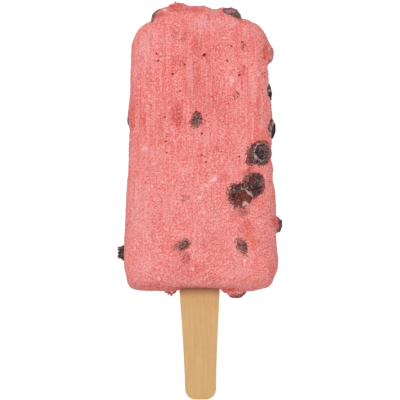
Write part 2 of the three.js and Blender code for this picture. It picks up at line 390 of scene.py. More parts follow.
# Stains and bleached places of the shown face: place in mm, half sizes in mm, turn in degrees
# and strength.
JUICY = [
    ((-8.2, 31.8), (3.6, 6.6), 6, 0.7),
    ((-6.6, 28.6), (3.4, 3.8), 0, 0.6),
    ((-22.5, 33.0), (4.4, 11.0), 0, 0.25),
    ((-20.5, 29.0), (1.5, 4.6), 0, 0.5),
    ((-25.6, 30.5), (2.2, 6.0), 0, 0.6),
    ((2.2, 42.0), (7.5, 20.0), 0, 0.3),
    ((-7.6, 51.3), (4.2, 2.6), 0, 0.4),
    ((-0.7, 57.4), (3.4, 4.4), 0, 0.5),
    ((-9.0, 71.6), (4.8, 3.4), 0, 0.85),
    ((-2.4, 70.2), (6.0, 1.6), 0, 0.7),
    ((-14.4, 68.4), (2.6, 2.0), 30, 0.8),
    ((8.0, 68.4), (1.6, 3.0), -20, 0.5),
    ((14.6, 67.6), (1.8, 3.4), 20, 0.7),
    ((25.2, 54.6), (2.6, 5.0), 8, 0.8),
    ((24.0, 54.4), (0.8, 3.6), 5, 0.9),
    ((15.7, 47.2), (1.3, 3.8), 0, 0.5),
    ((18.4, 11.6), (2.6, 1.6), 30, 0.9),
    ((9.2, 8.2), (3.8, 2.6), 0, 0.4),
    ((0.0, 16.5), (1.6, 1.4), 0, 0.6),
    ((6.4, 18.7), (1.8, 1.8), 0, 0.45),
    ((-5.0, -25.5), (10.0, 5.6), 0, 0.35),
    ((17.0, -10.0), (3.8, 5.0), 0, 0.6),
    ((20.4, -15.4), (2.6, 3.4), 0, 0.6),
    ((28.0, -7.6), (2.4, 3.0), 0, 0.95),
    ((-8.0, -32.6), (6.5, 1.8), 0, 0.6),
    ((10.5, -33.0), (5.5, 1.8), 0, 0.7),
    ((26.4, -26.0), (2.0, 5.0), 20, 0.35),
    ((24.0, -12.0), (1.2, 1.4), 0, 0.4),
    ((1.4, 53.4), (1.5, 1.9), 0, 0.6),
    ((-5.5, 49.8), (1.5, 1.5), 0, 0.6),
    ((16.0, 57.0), (1.2, 2.2), 0, 0.5),
    ((-19.0, 46.0), (3.4, 6.0), 0, 0.25),
    ((7.5, 33.0), (4.0, 7.0), 0, 0.3),
    ((21.5, 33.0), (2.0, 8.0), 0, 0.3),
    ((-14.5, 28.0), (2.6, 5.4), 0, 0.45),
    ((-26.2, 27.2), (1.6, 4.0), 0, 0.7),
    ((-3.2, 44.0), (4.2, 13.0), 0, 0.35),
    ((12.0, 46.0), (2.4, 3.0), 0, 0.25),
    ((-16.5, -31.6), (6.4, 2.6), 0, 0.45),
    ((4.0, -15.5), (6.0, 5.0), 0, 0.3),
    ((-5.6, -20.6), (3.4, 3.6), 0, 0.5),
    ((12.6, -5.6), (3.4, 3.0), 0, 0.4),
]
WARM = [
    ((-14.8, 22.4), (3.6, 2.2), 0, 0.6),
    ((-15.7, -29.4), (2.8, 1.8), 0, 0.35),
    ((15.3, 29.8), (1.8, 2.8), 0, 0.4),
    ((18.8, -13.6), (3.2, 5.0), 0, 0.5),
    ((22.6, 23.4), (3.4, 2.8), 0, 0.5),
    ((26.0, 54.4), (2.2, 4.2), 0, 0.5),
    ((-24.6, 32.0), (1.0, 12.0), 0, 0.4),
    ((21.6, -30.0), (2.6, 1.4), 20, 0.5),
    ((14.0, 60.8), (2.0, 1.4), -20, 0.4),
    ((22.9, 0.2), (2.2, 6.0), 0, 0.3),
    ((-12.5, 50.0), (3.0, 1.8), 0, 0.3),
]
BLEACHED = [
    ((0.0, 65.4), (4.0, 4.2), 0, 0.6),
    ((11.9, 65.4), (4.0, 3.0), 0, 0.5),
    ((-19.5, 56.6), (3.0, 6.0), 0, 0.45),
    ((-12.6, 59.6), (1.6, 3.6), 0, 0.5),
    ((11.8, 44.2), (1.8, 3.6), 0, 0.75),
    ((18.7, 41.0), (2.6, 6.0), 0, 0.6),
    ((-19.4, 17.8), (4.0, 2.4), 0, 0.7),
    ((0.4, 4.5), (2.8, 1.3), 35, 0.9),
    ((4.9, 8.0), (3.0, 1.8), 35, 0.95),
    ((-4.6, 10.9), (3.4, 2.2), 0, 0.45),
    ((-21.5, -4.0), (5.6, 18.0), 0, 0.45),
    ((-12.0, -4.0), (5.0, 9.0), 0, 0.25),
    ((6.0, -6.0), (5.0, 4.0), 0, 0.3),
    ((15.2, -26.0), (4.2, 2.8), 0, 0.6),
    ((-21.0, -24.0), (6.0, 6.0), 0, 0.35),
    ((-26.6, 66.0), (9.0, 5.0), 45, 0.3),
    ((-20.5, 60.5), (8.0, 9.0), 0, 0.4),
    ((5.2, 65.4), (4.6, 6.4), 0, 0.45),
    ((-24.0, 50.0), (3.0, 9.0), 0, 0.45),
    ((-20.5, 15.5), (7.0, 7.4), 0, 0.5),
    ((19.0, 62.0), (4.6, 4.0), 0, 0.35),
    ((25.0, 40.0), (2.0, 6.0), 0, 0.3),
]
FROSTY = [
    ((4.6, 7.4), (2.2, 1.1), 30, 0.8),
    ((2.4, 5.4), (1.4, 0.9), 0, 0.7),
    ((0.2, 1.0), (1.8, 1.1), -20, 0.6),
    ((11.8, 44.2), (1.2, 2.8), 0, 0.5),
    ((-2.9, -25.4), (1.0, 1.1), 0, 0.8),
    ((16.4, -22.0), (1.2, 1.2), 0, 0.8),
    ((22.0, 46.6), (1.8, 1.2), 0, 0.6),
    ((-12.8, 70.2), (1.3, 0.8), 0, 0.8),
    ((25.8, 56.2), (0.8, 1.6), 10, 0.6),
    ((26.1, 52.6), (0.7, 1.1), 0, 0.55),
    ((-15.2, -28.6), (1.2, 0.9), 0, 0.6),
    ((-20.5, 19.0), (1.8, 1.0), 20, 0.5),
]
SMUDGED = [
    ((-5.5, 0.7), (1.9, 2.2), 0, 0.32),
    ((-9.2, 61.4), (2.0, 3.0), 10, 0.2),
    ((-6.0, 60.2), (1.5, 2.6), 0, 0.15),
    ((13.5, 38.8), (1.4, 2.1), 0, 0.25),
    ((15.9, 56.8), (1.2, 2.2), 0, 0.25),
    ((22.8, 46.3), (1.8, 1.3), 0, 0.25),
    ((3.3, 68.0), (1.2, 1.8), 0, 0.25),
    ((-5.2, -21.2), (1.6, 2.6), -10, 0.12),
    ((-7.6, 30.6), (2.2, 4.0), 0, 0.1),
]
# Berries seen through the pulp, and the juice round those that stand out of it; the seeped
# juice also holds painted shade.
UNDER_SKIN = [
    ((-1.1, 28.8), (3.4, 4.8), -15, 0.75),
    ((-6.8, -16.5), (5.2, 3.4), 32, 0.65),
    ((15.2, -16.6), (3.2, 5.0), 28, 0.75),
    ((16.6, -19.0), (2.0, 2.6), 0, 0.6),
]
BRUISED = [
    ((21.1, 16.9), (5.6, 5.8), 0, 0.85),
    ((18.9, 14.5), (3.4, 2.8), 30, 0.85),
    ((19.4, 5.2), (5.8, 6.4), 0, 0.85),
    ((14.5, 1.8), (6.3, 6.6), 0, 0.9),
    ((-16.9, 67.2), (0.9, 2.6), -32, 0.7),
    ((27.0, 53.8), (0.8, 4.6), 4, 0.5),
]
SEEPED_AND_SHADED = [
    # Painted shadow under the torn berry's crumb.
    ((16.0, -4.2), (3.2, 2.2), 0, 0.7),
    # Painted shade along the pulp's lip over the stick.
    ((0.0, -32.4), (7.5, 1.0), 0, 0.35),
    ((18.0, 9.2), (4.2, 3.2), 0, 0.4),
    ((-5.2, -21.2), (2.0, 3.2), -10, 0.3),
    ((-8.5, 31.6), (2.2, 3.6), 0, 0.2),
    ((26.6, 50.8), (2.4, 2.0), 20, 0.8),
    ((13.6, -35.0), (3.6, 1.4), 0, 0.8),
]
STAIN_FOOT = (7.0, 12.0)  # over these heights, in mm, the shown face's stains fade out


def plug(shader, socket, wire):
    wire.tree.links.new(wire.socket, shader.inputs[socket])


def plug_bumps(shader, height, strength, depth):
    """Roughens a finish by a height of 0 to 1 that stands for a depth in mm."""
    settings = {"Strength": strength, "Distance": depth * MM, "Height": height}
    plug(shader, "Normal", height.node("ShaderNodeBump", None, settings))


def plain(place, colour):
    """One colour in the tree of a wire, for others to be laid over."""
    wire = place.node("ShaderNodeRGB")
    wire.socket.default_value = colour
    return wire


def wandered(place, size, detail, reach):
    """A place pushed about by noise, so that what is laid by it has a ragged outline."""
    push = place.noise(size, detail, out=1).vector("SUBTRACT", (0.5, 0.5, 0.5)).times(reach)
    return place.vector("ADD", push)


def attribute(place, name, out=2):
    """What a piece's points hold under a name: a number, or a vector from output 1."""
    return place.node("ShaderNodeAttribute", {"attribute_name": name}, out=out)


pulp, pulp_shader, place = finish_of("frozen_pulp", IOR=1.33)
ragged = wandered(place, 2.2, 2.0, reach=2.6)
streaked = place.vector("MULTIPLY", (1.0, 0.05, 1.0))
cloud = place.noise(9.0, 2.0)
far_cloud = place.vector("ADD", (40, 0, 0)).noise(12.0, 2.0)
grain = place.noise(0.66, 3.0, 0.7)
fine = place.vector("ADD", (0, 30, 0)).noise(0.4, 1.0, 0.6)
mottle = (place.vector("ADD", (0, 0, 30)).noise(0.62, 2.0, 0.7) - 0.5) * 3.0
in_front = (in_direction(ragged, 0, 0, 1) + (cloud - 0.5) * 16.0).step(*STAIN_FOOT)


def stains(colour, table, shade, breakup=None, soft=0.7):
    """Lays each stain of a table over a colour, broken up by a noise where it is given."""
    for (x, y), half, turn, strength in table:
        mask = ragged.patch((x, y, 0), (*half, 1000), turn, soft) * in_front
        if breakup is not None:
            mask = (mask + breakup).step(0.45, 0.85) * mask.step(0.02, 0.4)
        colour = colour.over(mask * strength, shade)
    return colour


pink = plain(place, PINK)
pink = pink.over(cloud.step(0.48, 0.68) * 0.4, DEEP_PINK)
pink = pink.over(far_cloud.step(0.5, 0.7) * 0.4, PALE_PINK)
pink = pink.over(in_direction(place, 0, 1, 0).step(-5.0, 45.0) * 0.24, DEEP_PINK)
pink = pink.over(grain.step(0.5, 0.64) * 0.66, FROST)
pink = pink.over((1 - grain.step(0.36, 0.5)) * 0.56, SHADE)
# Painted shade: the bar's sides are laid darker and greyer than its face.
pink = pink.over((1 - attribute(place, "facing").step(0.1, 0.8)) * 0.55, SIDE_SHADE)
pink = stains(pink, JUICY, JUICE)
pink = stains(pink, WARM, WARM_JUICE)
pink = stains(pink, BLEACHED, LILAC)
upper = in_direction(place, 0, 1, 0).step(-12.0, 30.0) * 0.6 + 0.4
pink = pink.over(streaked.noise(1.7, 1.0).step(0.5, 0.66) * upper * 0.5, DEEP_PINK)
pink = pink.over(streaked.noise(0.6, 1.0).step(0.5, 0.66) * upper * 0.5, DEEP_PINK)
pink = pink.over((1 - streaked.noise(0.9, 1.0).step(0.36, 0.48)) * upper * 0.5, PALE_PINK)
# Dark seeped juice, with painted shade under the torn berry's crumb and along the lip over the
# stick.
pink = stains(pink, SEEPED_AND_SHADED, DARK_JUICE_AND_SHADE)
pink = pink.over(fine.step(0.54, 0.66) * 0.46, FROST)
pink = pink.over((1 - fine.step(0.34, 0.46)) * 0.46, SHADE)
pink = stains(pink, FROSTY, FROST, breakup=mottle)
pink = stains(pink, SMUDGED, BERRY_GREY, breakup=mottle)
pink = stains(pink, BRUISED, BRUISE, breakup=mottle, soft=0.5)
pink = stains(pink, UNDER_SKIN, BERRY_GREY, breakup=mottle)
plug(pulp_shader, "Base Color", pink)
plug(pulp_shader, "Roughness", 0.62 - grain.step(0.4, 0.7) * 0.2)
plug_bumps(pulp_shader, fine * 0.5 + grain, strength=0.9, depth=0.3)
bar.data.materials.clear()
bar.data.materials.append(pulp)
select_only(bar)
bpy.ops.object.shade_smooth()
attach(bar, "root")
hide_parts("bar")

# --- The shreds of pulp -------------------------------------------------------------------
# Torn fibres and drips of the same frozen pulp that were left standing when the bar came
# out of its mould: a tuft on the top, crumbs at the base and a lip over the stick.
SHRED_GRID = 0.2 * MM
# Place in mm, half sizes in mm, turn about Z in degrees.
SHREDS = [
    ((-9.4, 72.0, 13.4), (0.55, 1.7, 0.8), -12),
    ((-7.3, 71.6, 12.8), (0.5, 1.6, 0.8), -32),
    ((-10.8, 71.3, 13.0), (0.55, 1.3, 0.8), 34),
    ((-8.6, 71.2, 15.4), (0.9, 1.5, 0.7), 10),
    ((-5.4, 71.0, 13.2), (1.2, 0.8, 0.9), -15),
    ((-12.1, 70.4, 13.0), (1.3, 0.8, 0.9), 25),
    ((-14.0, 69.7, 13.6), (1.2, 0.6, 0.9), 10),
    ((-10.7, -34.5, 14.0), (0.5, 0.9, 0.8), 25),
    ((-9.6, -34.0, 13.0), (0.9, 0.5, 0.8), 25),
    ((-11.6, -34.2, 12.6), (0.5, 0.8, 0.8), -10),
    ((-12.4, -33.7, 13.4), (0.8, 0.4, 0.7), 30),
    ((11.8, -35.1, 15.4), (1.3, 0.8, 1.0), -15),
    ((14.4, -35.2, 14.6), (1.2, 0.6, 1.0), 20),
    ((16.2, -34.2, 14.0), (1.0, 0.6, 0.9), 25),
]
TUFT_FIBRES = 34
TUFT_MIDDLE = (-9.0, 71.4)
TUFT_HALF_WIDTH = 4.2
TUFT_DROOP = 2.4  # how much lower its outermost fibres stand, in mm
TUFT_FAN = 35  # how far they lean outwards, in degrees

rng = random.Random(11)
for i in range(TUFT_FIBRES):
    spread = rng.uniform(-1, 1)
    x = TUFT_MIDDLE[0] + TUFT_HALF_WIDTH * spread
    y = TUFT_MIDDLE[1] - TUFT_DROOP * spread**2 + rng.uniform(-0.4, 0.5)
    at = (x, y, rng.uniform(11, 16))
    size = (rng.uniform(0.24, 0.38), rng.uniform(0.7, 1.6), rng.uniform(0.3, 0.5))
    SHREDS.append((at, size, -TUFT_FAN * spread + rng.uniform(-30, 30)))

shreds = add_ball(*SHREDS[0], rings=8)
shreds.name = "pulp_shreds"
select_only(shreds)
bpy.ops.object.transform_apply(location=True, rotation=True, scale=True)
join(shreds, [add_ball(*shred, rings=8) for shred in SHREDS[1:]])
add_modifier(shreds, "REMESH", mode="VOXEL", voxel_size=SHRED_GRID)
relief(shreds, lambda place: (place.noise(0.9, 2.0, 0.6) - 0.5) * 0.5)
# With no facing attribute, the shreds take the pulp's painted side shade all over.
shreds.data.materials.append(pulp)
select_only(shreds)
bpy.ops.object.shade_smooth()
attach(shreds, "root")

# --- The flecks ---------------------------------------------------------------------------
# Crumbs of seed and dark skin from the crushed fruit, stuck flat to the pulp all over.
FLECKS = [
    (1.5, 53.5), (0.7, 52.4), (-5.5, 49.8), (15.9, 56.1), (16.3, 49.1), (14.4, 46.1),
    (14.4, 16.1), (7.8, 18.0), (0.7, 16.5), (-12.2, 17.6), (0.7, 24.6), (-12.6, 21.7),
    (-12.9, 30.6), (-15.9, 53.9), (-15.5, 51.3), (10.0, 51.3), (10.4, 57.2), (15.5, 58.3),
    (11.5, 56.8), (-7.4, 40.2), (4.4, 38.0), (-10.0, 46.5), (23.7, 52.4), (-20.0, 6.5),
    (-12.2, 23.5),
]
USUAL_FLECK = 1.2
BIG_FLECKS = {(1.5, 53.5): 2.1, (-5.5, 49.8): 1.6, (16.3, 49.1): 1.5, (14.4, 16.1): 1.4}
SCATTERED_FLECKS = 760
FLECKS_IN_SMUDGE = 8
FLECK_LENGTH = (0.26, 0.5)  # half of it, in mm
FLECK_FORM = Vector((1, 0.62, 0.3))  # half sizes as shares of that
ABOVE = 60.0  # a height over the whole bar, in mm
CLEAR_OF_TABLE = 1.0  # no fleck lies lower than this, in mm

bpy.ops.object.select_all(action="DESELECT")
bpy.ops.mesh.primitive_ico_sphere_add(subdivisions=2, radius=1)
chip = bpy.context.object
chip.name = "skin_flecks"
bpy.ops.object.mode_set(mode="EDIT")
bpy.ops.mesh.select_all(action="SELECT")
bpy.ops.transform.vertex_random(offset=0.22, seed=4)
bpy.ops.object.mode_set(mode="OBJECT")
shape = chip.data.copy()

rng = random.Random(7)
pulp_skin = BVHTree.FromObject(bar, bpy.context.evaluated_depsgraph_get())
low, high = (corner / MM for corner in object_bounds())
# Where each fleck comes from, which way it goes until it meets the pulp, and how big it is.
aimed = [((*at, ABOVE), (0, 0, -1), BIG_FLECKS.get(at, USUAL_FLECK)) for at in FLECKS]
for (x, y), (wide, tall), _, _ in SMUDGED:
    for i in range(FLECKS_IN_SMUDGE):
        turn = rng.uniform(0, 2 * math.pi)
        out = math.sqrt(rng.uniform(0, 0.8))
        at = (x + wide * out * math.cos(turn), y + tall * out * math.sin(turn), ABOVE)
        aimed.append((at, (0, 0, -1), rng.uniform(0.4, 0.75)))
for i in range(SCATTERED_FLECKS):
    angle = rng.uniform(0, 2 * math.pi)
    way = Vector((math.cos(angle), rng.uniform(-0.3, 0.3), math.sin(angle)))
    start = Vector((0, rng.uniform(low.y, high.y), 12)) + way * 80
    start.x += rng.uniform(-26, 26) * abs(way.z)
    aimed.append((start, -way, rng.uniform(0.5, 1.05)))
chips = []
for start, way, scale in aimed:
    spot, normal, _, _ = pulp_skin.ray_cast(Vector(start) * MM, Vector(way))
    length = rng.uniform(*FLECK_LENGTH) * scale
    spin = Euler((0, 0, rng.uniform(0, 2 * math.pi))).to_quaternion()
    if spot is None or spot.z < CLEAR_OF_TABLE * MM:
        continue
    part = bpy.data.objects.new("chip", shape.copy())
    bpy.context.collection.objects.link(part)
    part.location = spot
    part.rotation_euler = (normal.to_track_quat("Z", "Y") @ spin).to_euler()
    part.scale = FLECK_FORM * length * MM
    chips.append(part)
# The first fleck is the piece itself, and the rest are joined to it.
chip.location = chips[0].location
chip.rotation_euler = chips[0].rotation_euler
chip.scale = chips[0].scale
select_only(chip)
bpy.ops.object.transform_apply(location=True, rotation=True, scale=True)
join(chip, chips[1:])
bpy.data.objects.remove(chips[0])

peel, peel_shader, place = finish_of("seed_and_peel", IOR=1.4, Specular_IOR_Level=0.2)
fleck_tone = plain(place, paint(178, 42, 42))
fleck_tone = fleck_tone.over(place.noise(3.0, 1.0).step(0.45, 0.6), paint(128, 24, 28))
fleck_tone = fleck_tone.over(place.noise(6.0, 1.0).step(0.6, 0.7) * 0.6, paint(112, 84, 72))
plug(peel_shader, "Base Color", fleck_tone)
plug(peel_shader, "Roughness", 0.7 - place.noise(0.4).step(0.4, 0.6) * 0.2)
chip.data.materials.append(peel)
select_only(chip)
bpy.ops.object.shade_smooth()
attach(chip, "root")

# --- The berries --------------------------------------------------------------------------
# Small dark berries, frozen whole into the pulp, most with the ring of the dried flower at
# one end. Their skin is wrinkled and frosted, and pulp clings to it where it meets the bar.
BERRY_RADIUS = 4.0
POCKET_FILL = 0.3  # mm by which a berry fills the gap of its pocket
BERRY_ROUNDING = 2
WRINKLE_RISE = 0.34
BACK_CLEARANCE = 0.15
FILM_FADE = 0.3  # how far up a berry the film of pulp thins out, as a share of its reach
PRESSED = 0.08  # how much is left of the height of a berry's top that is pressed flat

# The dried flower's ring, as shares of the berry's radius.
CROWN_LOBES = 5
RING_RISE = 0.08
RING_WALL = 0.1
HOLLOW_DEPTH = 0.16
HOLLOW_TAPER = (0.92, 0.92, 0.3)
SCAR_RADIUS = 0.2
SCAR_RISE = 0.06

# half: half sizes as shares of the radius. turn: about X, Y and Z. out: the way out of the
# pulp. line: where the pulp's edge lies on the berry, from -1 to 1 along that way. crown: the
# ring's radius as a share of the berry's. lobes: how far the ring's teeth stand up, the same.
# uneven: how lumpy the berry is, in mm. shift: how far it has slipped in its pocket, in mm.
# level: how far over the pulp's own level the berry's top is pressed flat, in mm.
# frosted: whether frost has settled on the ring. filled: how much pulp lies in its hollow.
USUAL = {
    "out": (0, 0, 1), "line": 0.6, "crown": 0.55, "lobes": 0.03, "uneven": 0.3, "frosted": True,
    "filled": 0.0,
}
PEEPING = {"level": 0.1, "shift": (0, -0.6, 0.5)}
BERRIES = {
    "berry_crowned": {
        "half": (1.04, 1.2, 0.97), "turn": (-8, 14, 0), "crown": 0.66, "line": 0.45,
        "shift": (-0.1, -0.5, 0),
    },
    "berry_whole": {
        "half": (1.08, 1.32, 1), "turn": (200, 25, -8), "uneven": 0.8, "line": 0.5,
        "shift": (-0.9, -0.9, 0),
    },
    "berry_torn": {
        "half": (1.3, 1.42, 0.98), "turn": (205, -20, 20), "uneven": 0.9, "line": 0.5,
        "shift": (-0.5, 0.2, 0),
    },
    "berry_peep_mid": {"half": (0.78, 1.0, 1.15), "turn": (70, 0, -12), **PEEPING},
    "berry_peep_left": {"half": (1.0, 0.72, 1.25), "turn": (0, 75, 32), **PEEPING},
    "berry_peep_right": {"half": (0.72, 1.0, 1.25), "turn": (80, 0, 28), **PEEPING},
    "berry_top_right": {
        "half": (1.05, 0.88, 0.92), "turn": (-60, 8, 0), "out": (0.1, 0.8, 0.6),
        "crown": 0.64, "line": 0.5, "filled": 1.0, "shift": (0, -0.1, 0.8),
    },
    "berry_top_left": {
        "half": (1, 1, 1), "turn": (-100, -35, 0), "out": (-0.4, 0.9, 0), "line": 0.4,
        "uneven": 0.6, "shift": (-0.2, -0.2, 0),
    },
    "berry_right_high": {
        "half": (1, 1.45, 1), "turn": (20, 60, 0), "out": (1, 0, 0), "line": 0.35,
        "shift": (0.3, -0.9, 2.2),
    },
    "berry_right_mid": {
        "half": (0.98, 1.4, 1), "turn": (10, 70, 0), "out": (1, 0, 0), "line": 0.4,
        "shift": (-0.2, -0.5, 2.2),
    },
    "berry_right_low": {
        "half": (0.85, 0.85, 0.85), "turn": (10, 70, 0), "out": (1, 0, 0), "line": 0.62,
        "crown": 0.6, "frosted": False, "shift": (-0.4, 0, 0),
    },
    "berry_left_mid": {
        "half": (0.95, 1.1, 0.95), "turn": (-30, -40, 0), "out": (-1, 0, 0), "line": 0.7
    },
    "berry_left_low": {
        "half": (0.72, 0.74, 0.8), "turn": (0, -88, 0), "out": (-1, 0, 0), "line": 0.1,
        "crown": 0.6, "lobes": 0.2, "frosted": False, "uneven": 0.9, "shift": (0.3, -1.2, 0),
    },
    "berry_base": {
        "half": (1, 0.85, 0.95), "turn": (95, 15, 0), "out": (0, -1, 0), "line": 0.5,
        "uneven": 0.6, "shift": (0, -0.5, 0.6),
    },
}
BACK_BERRIES = 5
for i in range(BACK_BERRIES):
    half = 0.95 + 0.05 * math.sin(2.1 * i)
    turn = (70 + 50 * i, 25 * i, 0)
    BERRIES[f"berry_back_{i + 1}"] = {"half": (half,) * 3, "turn": turn, "out": (0, 0, -1)}


def select_parts(thing, parts, test):
    """Goes into edit mode with those faces, or points, selected that pass a test."""
    select_only(thing)
    bpy.ops.object.mode_set(mode="EDIT")
    bpy.ops.mesh.select_mode(type="FACE" if parts == "polygons" else "VERT")
    bpy.ops.mesh.select_all(action="DESELECT")
    bpy.ops.object.mode_set(mode="OBJECT")
    for part in getattr(thing.data, parts):
        part.select = test(part.center if parts == "polygons" else part.co)
    bpy.ops.object.mode_set(mode="EDIT")


def berry_ball(crown, lobes, frosted):
    """A ball of radius 1 with a raised, lobed ring round a hollow at its top."""
    bpy.ops.object.select_all(action="DESELECT")
    bpy.ops.mesh.primitive_uv_sphere_add(segments=30, ring_count=18, radius=1)
    ball = bpy.context.object
    shoulder = math.sqrt(1 - crown**2)
    select_parts(ball, "polygons", lambda at: at.z > shoulder)
    bpy.ops.mesh.extrude_region_move(TRANSFORM_OT_translate={"value": (0, 0, RING_RISE)})
    bpy.ops.mesh.inset(thickness=RING_WALL)
    bpy.ops.mesh.extrude_region_move(TRANSFORM_OT_translate={"value": (0, 0, -HOLLOW_DEPTH)})
    bpy.ops.transform.resize(value=HOLLOW_TAPER, center_override=(0, 0, shoulder))
    bpy.ops.object.mode_set(mode="OBJECT")

    def on_lobe(at):
        out = math.hypot(at.x, at.y) / crown
        turned = math.cos(CROWN_LOBES * math.atan2(at.y, at.x))
        return 0.8 < out < 1.1 and at.z > shoulder and turned > 0.1

    select_parts(ball, "vertices", on_lobe)
    bpy.ops.transform.translate(value=(0, 0, lobes))
    bpy.ops.transform.resize(value=(1 + lobes, 1 + lobes, 1), center_override=(0, 0, 1))
    bpy.ops.object.mode_set(mode="OBJECT")
    select_parts(ball, "polygons", lambda at: math.hypot(at.x, at.y) < SCAR_RADIUS < at.z)
    bpy.ops.mesh.extrude_region_move(TRANSFORM_OT_translate={"value": (0, 0, SCAR_RISE)})
    bpy.ops.object.mode_set(mode="OBJECT")
    add_modifier(ball, "SUBSURF", levels=BERRY_ROUNDING, render_levels=BERRY_ROUNDING)
    # The berry's own coordinates, in which a frosted ring always lies at a radius of a half.
    own = ball.data.attributes.new("own_place", "FLOAT_VECTOR", "POINT")
    wide = 2 * crown if frosted else 0.1
    places = [(v.co.x / wide, v.co.y / wide, v.co.z) for v in ball.data.vertices]
    own.data.foreach_set("vector", [c for place in places for c in place])
    return ball


def wrinkles(uneven):
    """The relief of a berry's skin, which is as lumpy as that many mm."""

    def height(place):
        folds = (place.noise(2.4, 1.0) - 0.5) * uneven
        creases = (place.noise(0.8, 2.0, 0.6) - 0.5) * WRINKLE_RISE
        return folds + creases

    return height


SKIN = paint(62, 36, 36)
BROWN_SKIN = paint(84, 58, 46)
RED_SKIN = paint(106, 40, 44)
HOLLOW_SKIN = paint(44, 38, 42)
CREASE_SHADE = paint(22, 12, 14)
SHADED_SKIN = paint(30, 18, 20)
FROST_FLECK = paint(196, 164, 152)
SCAR_SKIN = paint(108, 112, 130)
RING_FROST = paint(210, 184, 180)
HOLLOW_PULP = paint(190, 130, 128)
THIN_JUICE = paint(146, 100, 110)
FILM = paint(192, 92, 84)
FILM_GRAIN = paint(232, 142, 134)
FILM_PIT = paint(140, 52, 50)


def skin_colour(place):
    """Dark skin, the frosted ring and hollow of the crown, frost flecks and clinging pulp."""
    own = attribute(place, "own_place", out=1)
    clear = attribute(place, "clear")
    filled = attribute(place, "filled")
    colour = plain(place, SKIN)
    colour = colour.over(place.noise(3.0).step(0.46, 0.6) * 0.8, BROWN_SKIN)
    colour = colour.over(place.noise(2.2, 1.0).step(0.52, 0.66) * 0.8, RED_SKIN)
    across = own.vector("MULTIPLY", (1, 1, 0)).length()
    at_crown = in_direction(own, 0, 0, 1).step(0.2, 0.35)
    on_left = 1 - in_direction(own, 1, 0.3, 0).step(-0.1, 0.2) * 0.8
    ring = (1 - across.away(0.5).step(0.02, 0.08)) * at_crown * on_left * (1 - filled * 0.8)
    hollow = (1 - across.step(0.36, 0.46)) * at_crown
    scar = (1 - across.away(0.17).step(0.01, 0.05)) * at_crown
    colour = colour.over(hollow * 0.8, HOLLOW_SKIN)
    specks = place.noise(0.55, 2.0, 0.7)
    # Painted shade of the skin's creases, laid as dark specks.
    colour = colour.over((1 - specks.step(0.38, 0.48)) * 0.8, CREASE_SHADE)
    normal = place.node("ShaderNodeNewGeometry", out=1)
    shaded = in_direction(normal, 0.8, -0.6, 0).step(0.15, 0.6)
    colour = colour.over(shaded * 0.6, SHADED_SKIN)
    flecks = specks.step(0.53, 0.58) * place.noise(2.6).step(0.4, 0.58)
    flecks = flecks * (1 - hollow * 0.6) * (1 - shaded * 0.6)
    colour = colour.over(flecks * 0.8, FROST_FLECK)
    colour = colour.over(scar * place.noise(0.8).step(0.42, 0.56) * 0.5, SCAR_SKIN)
    colour = colour.over(ring * place.noise(0.9).step(0.4, 0.54) * 0.8, RING_FROST)
    colour = colour.over(hollow * filled * 0.75, HOLLOW_PULP)
    low_down = clear.step(0.0, 0.3) * (1 - clear.step(0.5, 1.4))
    colour = colour.over(place.noise(0.7, 1.0).step(0.5, 0.6) * low_down * 0.6, THIN_JUICE)
    bare = (clear + (place.noise(0.62, 2.0, 0.7) - 0.5) * 6.0).step(-0.25, 0.25)
    clinging = place.vector("ADD", (9, 0, 0)).noise(0.66, 3.0, 0.7)
    film = plain(place, FILM)
    film = film.over(clinging.step(0.5, 0.62) * 0.7, FILM_GRAIN)
    film = film.over((1 - clinging.step(0.38, 0.48)) * 0.7, FILM_PIT)
    return colour.over((1 - bare) * 0.8, film)


skin, skin_shader, place = finish_of("berry_skin", IOR=1.4, Specular_IOR_Level=0.25)
plug(skin_shader, "Base Color", skin_colour(place))
plug(skin_shader, "Roughness", 0.6 - place.noise(0.8).step(0.4, 0.6) * 0.3)
plug_bumps(skin_shader, place.noise(0.45, 2.0, 0.6), strength=0.7, depth=0.25)

# The torn berry shows flesh, a flap of pale skin and a cream crumb of pulp: place in mm, half
# sizes in mm, turn about Z in degrees.
TORN_TOP = 24.6
OPENED = ((15.6, 0.6, TORN_TOP), (3.4, 4.0, 4), 0)
FLAP = ((18.2, 2.5, TORN_TOP), (0.7, 2.4, 4), 50)
CRUMB = ((16.9, -1.9, TORN_TOP), (2.0, 1.8, 4), 0)
CRUMB_HOLE = ((16.7, -2.2, TORN_TOP), (0.9, 0.8, 4), 0)
FLAP_RISE = 0.5
CRUMB_RISE = 0.6
OPENED_DEPTH = 0.5
CRUMB_HOLE_DEPTH = 0.4
FLESH = paint(118, 50, 42)
DARK_STRAND = paint(64, 18, 20)
PALE_STRAND = paint(186, 104, 90)
FLAP_SKIN = paint(206, 160, 156)
CRUMB_CREAM = paint(224, 180, 164)
CRUMB_SHADE = paint(150, 70, 62)

flesh, flesh_shader, place = finish_of("berry_flesh", IOR=1.4, Specular_IOR_Level=0.3)
torn_place = wandered(place, 1.2, 1.0, reach=1.6)
opened = torn_place.patch(*OPENED, soft=0.4)
strands = place.noise(0.6, 2.0, 0.7)
torn = skin_colour(place)
torn = torn.over(opened * 0.9, FLESH)
torn = torn.over(opened * strands.step(0.5, 0.58) * 0.8, DARK_STRAND)
torn = torn.over(opened * (1 - strands.step(0.38, 0.44)) * 0.6, PALE_STRAND)
torn = torn.over(torn_place.patch(*FLAP, soft=0.5) * 0.85, FLAP_SKIN)
torn = torn.over(torn_place.patch(*CRUMB, soft=0.5) * 0.9, CRUMB_CREAM)
torn = torn.over(torn_place.patch(*CRUMB_HOLE, soft=0.5) * 0.8, CRUMB_SHADE)
plug(flesh_shader, "Base Color", torn)
plug(flesh_shader, "Roughness", 0.5 - strands.step(0.4, 0.6) * 0.25)
